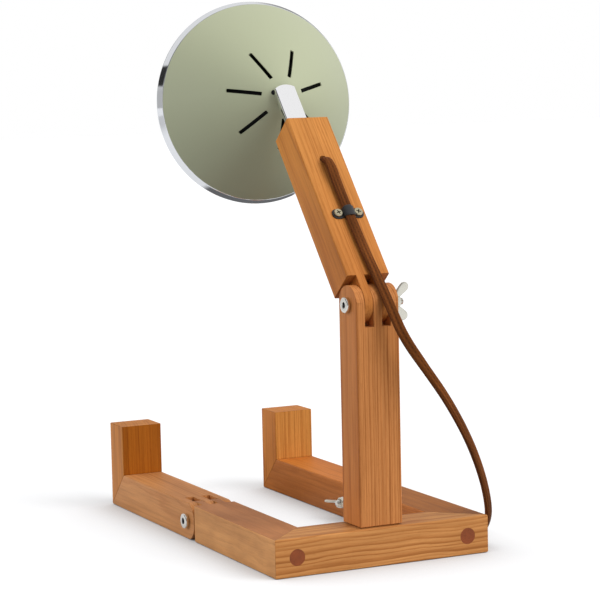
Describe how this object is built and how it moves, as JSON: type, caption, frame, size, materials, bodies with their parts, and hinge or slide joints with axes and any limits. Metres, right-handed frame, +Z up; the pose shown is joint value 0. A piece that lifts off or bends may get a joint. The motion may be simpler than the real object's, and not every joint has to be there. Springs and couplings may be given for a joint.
{
  "type": "desk lamp",
  "caption": "Timber desk lamp built like a seated robot: folding legs, upright trunk, leaning neck and a metal cone shade on a turning, tilting chrome arm.",
  "frame": {"origin": "centre of the hip bar's underside, on the surface that the lamp stands on, straight below the trunk", "axes": "+Z up along the trunk, front is -Y, the way the legs point, and +X is the lamp's own left"},
  "size_m": [0.2576, 0.402, 0.4805],
  "materials": {
    "timber": "oiled, waxed",
    "peg": "oiled",
    "bright_zinc": "bright plated",
    "screw_zinc": "zinc plated",
    "clip_black": "satin black",
    "chrome": "polished",
    "sage_paint": "satin",
    "holder_black": "matt",
    "contact_brass": "bright",
    "cap_metal": "bright",
    "opal_glass": "opal",
    "cord_braid": "woven",
    "fitting_brown": "satin",
    "rocker_brown": "satin",
    "tie_brown": "woven"
  },
  "bodies": {
    "base": {"hip_bar": "timber", "hip_dowels": "peg", "left_thigh": "timber", "right_thigh": "timber", "trunk": "timber", "trunk_dowels": "peg", "elbow_bolt": "bright_zinc", "elbow_washer": "bright_zinc", "cord_fall": "cord_braid", "switch_body": "fitting_brown", "cord_floor": "cord_braid", "cord_hank": "cord_braid", "cord_tie": "tie_brown", "cord_tail": "cord_braid", "plug_body": "fitting_brown", "plug_pins": "bright_zinc"},
    "left_leg": {"left_shank": "timber", "left_foot": "timber", "left_foot_dowel": "peg", "left_knee_bolt": "bright_zinc", "left_knee_washer": "bright_zinc"},
    "right_leg": {"right_shank": "timber", "right_foot": "timber", "right_foot_dowel": "peg", "right_knee_bolt": "bright_zinc", "right_knee_washer": "bright_zinc"},
    "left_knee_nut": {"left_knee_wing_nut": "bright_zinc"},
    "right_knee_nut": {"right_knee_wing_nut": "bright_zinc"},
    "elbow_nut": {"elbow_wing_nut": "bright_zinc"},
    "neck": {"neck": "timber", "cord_clip": "clip_black", "clip_screws": "screw_zinc", "cord_neck": "cord_braid"},
    "arm": {"head_arm": "chrome", "tilt_pin": "bright_zinc"},
    "head": {"head_knuckle": "chrome", "hub_screws": "screw_zinc", "shade": "sage_paint", "shade_trim": "chrome", "lampholder": "holder_black", "holder_contacts": "contact_brass", "bulb_cap": "cap_metal", "bulb_glass": "opal_glass"},
    "rocker": {"switch_rocker": "rocker_brown"}
  },
  "joints": [
    {"name": "left_knee", "type": "hinge", "parent": "base", "child": "left_leg", "pos_m": [0.0808, -0.1684, 0.0165], "axis": [1, 0, 0], "range_deg": [-45, 90]},
    {"name": "right_knee", "type": "hinge", "parent": "base", "child": "right_leg", "pos_m": [-0.0808, -0.1684, 0.0165], "axis": [1, 0, 0], "range_deg": [-45, 90]},
    {"name": "left_knee_nut_spin", "type": "hinge", "parent": "left_leg", "child": "left_knee_nut", "pos_m": [0.056, -0.1684, 0.0165], "axis": [1, 0, 0], "continuous": true},
    {"name": "right_knee_nut_spin", "type": "hinge", "parent": "right_leg", "child": "right_knee_nut", "pos_m": [-0.056, -0.1684, 0.0165], "axis": [1, 0, 0], "continuous": true},
    {"name": "elbow_nut_spin", "type": "hinge", "parent": "base", "child": "elbow_nut", "pos_m": [-0.025, 0, 0.2203], "axis": [1, 0, 0], "continuous": true},
    {"name": "elbow", "type": "hinge", "parent": "base", "child": "neck", "pos_m": [0, 0, 0.2203], "axis": [1, 0, 0], "range_deg": [-60, 45], "deforming": ["cord_fall"]},
    {"name": "arm_turn", "type": "hinge", "parent": "neck", "child": "arm", "pos_m": [0, -0.12591, 0.36171], "axis": [0, -0.6494, 0.7604], "range_deg": [-35, 50]},
    {"name": "head_tilt", "type": "hinge", "parent": "arm", "child": "head", "pos_m": [0, -0.15679, 0.39787], "axis": [0.9895, -0.1102, -0.0941], "range_deg": [-50, 35]},
    {"name": "switch_rock", "type": "hinge", "parent": "base", "child": "rocker", "pos_m": [-0.116, -0.078, 0.013], "axis": [1, 0, 0], "range_deg": [-12, 0]}
  ]
}
